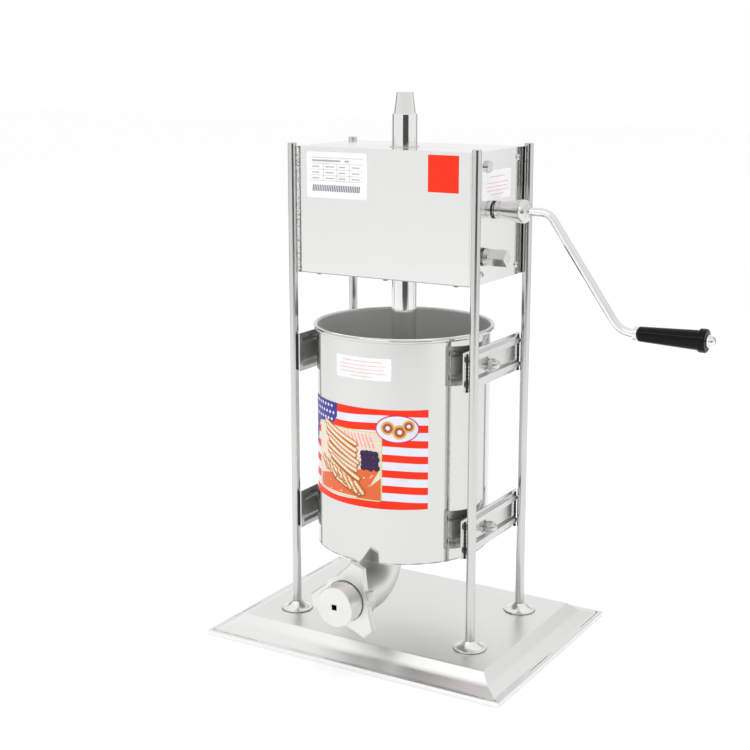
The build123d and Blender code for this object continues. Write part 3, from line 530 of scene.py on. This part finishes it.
stick_places = []
for k in range(10):
    u = -30 + 1.2 * k + rng.uniform(-3, 3)
    v = 280 - 6.9 * k + rng.uniform(-0.8, 0.8)
    angle = radians(-24 + rng.uniform(-4, 4))
    stick_places.append((u, v, 62 - 1.2 * k, 7.6, angle))
for k in range(8):
    u = -58 + 8.4 * k
    v = 238 - 3.2 * k + rng.uniform(-2, 2)
    angle = radians(-48 + rng.uniform(-8, 8))
    stick_places.append((u, v, 22, 8.0, angle))
for number, (u, v, length, width, angle) in enumerate(stick_places):
    lift = 0.5 + 0.03 * number
    print_on_pot(f"stick_{number}", [stick(u, v, length, width, angle)], lift, brown_ink)
    top = stick(u - 0.3, v + 0.6, length - 1.6, width - 2.6, angle)
    print_on_pot(f"stick_{number}_top", [top], lift + 0.01, gold_ink)
    ridges = [stick(u - 0.6, v + 1.3, length - 4, 1.3, angle), stick(u + 0.4, v - 0.9, length - 6, 0.9, angle)]
    print_on_pot(f"stick_{number}_sugar", ridges, lift + 0.02, white_ink)

berry_pitch, berry_columns, berry_count = 5.6, 4, 16
berries = []
for k in range(berry_count):
    u = 6 + berry_pitch * (k % berry_columns) + rng.uniform(-1, 1)
    v = 244 + berry_pitch * (k // berry_columns) + rng.uniform(-1, 1)
    berries.append((u, v))
for number, (u, v) in enumerate(berries):
    lift = 1.0 + 0.02 * number
    print_on_pot(f"berry_{number}", [disc(u, v, 3.9, 14)], lift, plum_ink)
    print_on_pot(f"berry_{number}_light", [disc(u - 1, v + 1.2, 0.9, 8)], lift + 0.01, blue_ink)

napkin = [slanted(-16 + 5 * k, 268, -13.6 + 5 * k, 284.5, -6) for k in range(8)]
print_on_pot("picture_napkin", napkin, 0.46, pink_ink)
board = [(-70, 206), (6, 206), (26, 240), (12, 243), (-70, 222)]
print_on_pot("picture_board", [board], 0.47, orange_ink)
crumbs = [disc(rng.uniform(-70, 26), rng.uniform(207, 284), rng.uniform(0.5, 1.1), 6) for k in range(60)]
print_on_pot("picture_crumbs", crumbs, 0.48, white_ink)

oval_u, oval_v = 48.0, 293.0
print_on_pot("oval_border", [ellipse(oval_u, oval_v, 26, 17, 36)], 0.6, rose_ink)
print_on_pot("oval_ground", [ellipse(oval_u, oval_v, 24.6, 15.6, 36)], 0.68, cool_ink)
for number, (du, dv, r) in enumerate(((-11, 1, 8.2), (3, -3.5, 8.6), (13.5, 3.5, 7.2))):
    u, v, lift = oval_u + du, oval_v + dv, 0.08 * number
    print_on_pot(f"ring_{number}", [disc(u, v, r, 24)], 0.76 + lift, gold_ink)
    print_on_pot(f"ring_{number}_glaze", [disc(u, v, r * 0.72, 20)], 0.79 + lift, brown_ink)
    print_on_pot(f"ring_{number}_hole", [disc(u, v, r * 0.32, 16)], 0.82 + lift, cool_ink)

# Weld beads, a dark ring at the pot's foot, and dark beads of painted shadow and painted shade
bead_sides = 8
ripple_middle, ripple_height = 0.86, 0.14


def bead(name, path, radius, pitch, material, seed):
    """A rippled, slightly uneven bead along a path, tapered at its two ends."""
    rough = Random(seed)
    build = bmesh.new()
    rings = []
    last = len(path) - 1
    for k, point in enumerate(path):
        before, after = path[max(k - 1, 0)], path[min(k + 1, last)]
        along = (after - before).normalized()
        across = along.cross(Vector((0.3, 0.2, 0.93)) if abs(along.z) < 0.9 else rightward).normalized()
        other = along.cross(across)
        ripple = ripple_middle + ripple_height * sin(2 * pi * k / pitch)
        size = radius / 1000 * ripple * rough.uniform(0.92, 1.08)
        if k in (0, last):
            size *= 0.5
        rings.append([
            build.verts.new(point + (across * cos(turn) + other * sin(turn)) * size) for turn in turns(bead_sides)
        ])
    skin(build, rings)
    build.faces.new(rings[0][::-1])
    build.faces.new(rings[-1])
    return add_piece(name, finish_mesh(name, build, smooth=True), material, "frame")


def upright(x, y, low, high, step):
    count = int((high - low) / step)
    return [xyz(x, y, low + (high - low) * k / count) for k in range(count + 1)]


def hoop(x, y, z, radius, count):
    around = [2 * pi * k / count for k in range(count + 1)]
    return [xyz(x + radius * sin(turn), y - radius * cos(turn), z) for turn in around]


def loop(half_x, half_y, z, step=4):
    corners = ((-half_x, -half_y), (half_x, -half_y), (half_x, half_y), (-half_x, half_y), (-half_x, -half_y))
    points = []
    for (x0, y0), (x1, y1) in zip(corners, corners[1:]):
        count = int((abs(x1 - x0) + abs(y1 - y0)) / step)
        points += [xyz(x0 + (x1 - x0) * k / count, y0 + (y1 - y0) * k / count, z) for k in range(count)]
    return points + [xyz(*corners[0], z)]


bead("weld_front_left", upright(-118.0, -68.2, 463, 613, 0.7), 2.4, 4, weld_steel, 3)

seam_angle, seam_radius = radians(60), 107.1
seam_x, seam_y = seam_radius * sin(seam_angle), pot_y - seam_radius * cos(seam_angle)
bead("weld_pot_seam", upright(seam_x, seam_y, 128, 396, 0.9), 0.6, 4, weld_steel, 5)
# A dark grey ring round the pot's foot
bead("pot_foot_ring", hoop(0, pot_y, 126.2, 106.9, 120), 0.95, 4, washer_and_shade_steel, 7)

rail_reach, rail_weld_half = 7.0, 23
# Dark rings of painted shadow under the rosettes' brims, and rail welds coloured near black as painted shade in
# the gaps at the posts
for side, x in (("left", -post_x), ("right", post_x)):
    rail_x = x - rail_reach if x > 0 else x + rail_reach
    for end, y, rail_y in (("front", -post_y, -post_y - 3.2), ("rear", post_y, post_y - 4.5)):
        bead(f"rosette_shadow_{end}_{side}", hoop(x, y, 22.3, 20.0, 60), 0.4, 4, painted_shade_steel, 9)
        for level, z in (("lower", 157.5), ("upper", 361)):
            path = upright(rail_x, rail_y, z - rail_weld_half, z + rail_weld_half, 0.9)
            bead(f"weld_{level}_{end}_{side}", path, 1.9, 5, rail_gap_shade, 13)

# Painted shade: a dark line along the pan's crease, and a painted contact shadow along its foot
bead("pan_crease_shade", loop(200.2, 152.7, 4.2), 0.95, 40, painted_shade_steel, 17)
bead("pan_foot_shadow", loop(204.2, 156.7, 0.75), 0.65, 40, painted_shade_steel, 19)

# Painted shade: flat dark crosses for the cross recesses on the heads of the side screws
screw_head_x = 121.92
screw_places = ((50, 603), (50, 473), (-55, 603), (-44, 473))
cross_reach, cross_half = 2.1, 0.4
cross = [
    bar(-cross_reach, -cross_half, cross_reach, cross_half),
    bar(-cross_half, cross_half, cross_half, cross_reach),
    bar(-cross_half, -cross_reach, cross_half, -cross_half),
]
for side, x, across in (("right", screw_head_x, rearward), ("left", -screw_head_x, -rearward)):
    for number, (y, z) in enumerate(screw_places):
        name = f"screw_recess_shade_{side}_{number}"
        print_on_plane(name, cross, xyz(x, y, z), across, plate_lift, painted_shade_steel)


# Thin rubber rings behind the crank shafts
def torus(build, centre, major, minor, count=48, sides=10):
    rings = []
    for turn in turns(count):
        out = Vector((0, cos(turn), sin(turn)))
        rings.append([
            build.verts.new(centre + (out * (major + minor * cos(t)) + Vector((minor * sin(t), 0, 0))) / 1000)
            for t in turns(sides)
        ])
    skin(build, rings + rings[:1])


rings_mesh = bmesh.new()
for ring_y, ring_z in ((-7.99, 545.26), (-36.0, 492.91)):
    torus(rings_mesh, xyz(121.2, ring_y, ring_z), 10.1, 0.55)
rings_mesh = finish_mesh("thin_rings", rings_mesh, smooth=True)
thin_rings = add_piece("thin_rings", rings_mesh, black_rubber, "frame")
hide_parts("seal_rings")

# Dark strip along the lower edge of the front cover, painted shade under its edge
cover_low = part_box("cover_front")[0]
edge_origin = Vector((-0.1175, cover_y / 1000, cover_low.z))
edge_shade_strip = [bar(0, 0, 235, 1.0)]
print_on_plane("cover_front_edge_shade", edge_shade_strip, edge_origin, rightward, 0.05, washer_and_shade_steel)


# Lights and floor
floor_reach = 12
floor_gap = 0.0005

# Brightness of the surroundings from straight below (0) to straight above (1)
sky_levels = ((0.0, 1.0), (0.53, 1.0), (0.64, 0.78), (0.85, 0.92), (1.0, 0.95))


def facing(place, aim, axis):
    return (Vector(aim) - Vector(place)).to_track_quat(axis, "Y").to_euler()


def add_floor():
    build = bmesh.new()
    square = bar(-floor_reach, -floor_reach, floor_reach, floor_reach)
    build.faces.new([build.verts.new((x, y, 0)) for x, y in square])
    floor = bpy.data.objects.new("floor", to_mesh("floor", build))
    shade = Shade("floor_paint", (0.9, 0.9, 0.9), 0.7, Emission_Color=(1, 1, 1, 1), Emission_Strength=0.175)
    floor.data.materials.append(shade.material)
    floor.location.z = -floor_gap
    scene.collection.objects.link(floor)


def add_sky():
    world = bpy.data.worlds.new("studio")
    scene.world = world
    world.use_nodes = True
    tree = world.node_tree
    background = tree.nodes["Background"]
    place = tree.nodes.new("ShaderNodeTexCoord")
    split = tree.nodes.new("ShaderNodeSeparateXYZ")
    ramp = tree.nodes.new("ShaderNodeValToRGB")
    spread = tree.nodes.new("ShaderNodeMapRange")
    spread.inputs["From Min"].default_value = -1
    spread.inputs["From Max"].default_value = 1
    tree.links.new(place.outputs["Generated"], split.inputs["Vector"])
    tree.links.new(split.outputs["Z"], spread.inputs["Value"])
    tree.links.new(spread.outputs["Result"], ramp.inputs["Fac"])
    tree.links.new(ramp.outputs["Color"], background.inputs["Color"])
    while len(ramp.color_ramp.elements) < len(sky_levels):
        ramp.color_ramp.elements.new(0.5)
    for stop, (position, level) in zip(ramp.color_ramp.elements, sky_levels):
        stop.position = position
        stop.color = (level, level, level, 1)
    background.inputs["Strength"].default_value = 1.0


def area(name, place, aim, size, power, glossy=False):
    """A rectangular light, seen in reflections only where glossy."""
    data = bpy.data.lights.new(name, "AREA")
    data.shape = "RECTANGLE"
    data.size, data.size_y = size
    data.energy = power
    light = bpy.data.objects.new(name, data)
    light.location = Vector(place)
    light.rotation_euler = facing(place, aim, "-Z")
    light.visible_glossy = glossy
    light.visible_camera = False
    scene.collection.objects.link(light)


def card(name, place, aim, size, level):
    """A grey panel that only reflections show."""
    build = bmesh.new()
    half_u, half_v = size[0] / 2, size[1] / 2
    build.faces.new([build.verts.new((u, v, 0)) for u, v in bar(-half_u, -half_v, half_u, half_v)])
    mesh = to_mesh(name, build)
    shade = Shade(name, (0, 0, 0), 1.0, Emission_Color=(level, level, level, 1), Emission_Strength=1.0)
    mesh.materials.append(shade.material)
    panel = bpy.data.objects.new(name, mesh)
    panel.location = Vector(place)
    panel.rotation_euler = facing(place, aim, "Z")
    panel.visible_camera = False
    panel.visible_shadow = False
    panel.visible_diffuse = False
    scene.collection.objects.link(panel)


add_floor()
add_sky()
area("key", (-1.6, -1.6, 1.9), (0, 0, 0.35), (1.4, 1.8), 9)
area("side", (2.2, -0.2, 1.3), (0, 0, 0.35), (0.9, 1.8), 4)
area("top", (0.0, 0.2, 2.4), (0, 0, 0.3), (1.6, 1.2), 6)
area("pot_fill", (0.0, -0.03, 0.455), (0, -0.03, 0.1), (0.2, 0.13), 0.075, glossy=True)
area("strip", (-0.28, -1.46, 1.6), (0.3, 0, 0.4), (1.2, 0.2), 2.3, glossy=True)
card("dark_card", (1.385, -1.773, 0.4), (0, 0, 0.4), (2.1, 0.95), 0.07)
card("side_card", (0.42, 1.75, 0.45), (0.42, 0, 0.45), (0.86, 0.9), 0.5)
card("left_card", (-2.6, 0.4, 0.7), (0, 0, 0.5), (1.0, 1.6), 0.2)
scene.view_settings.view_transform = "Standard"
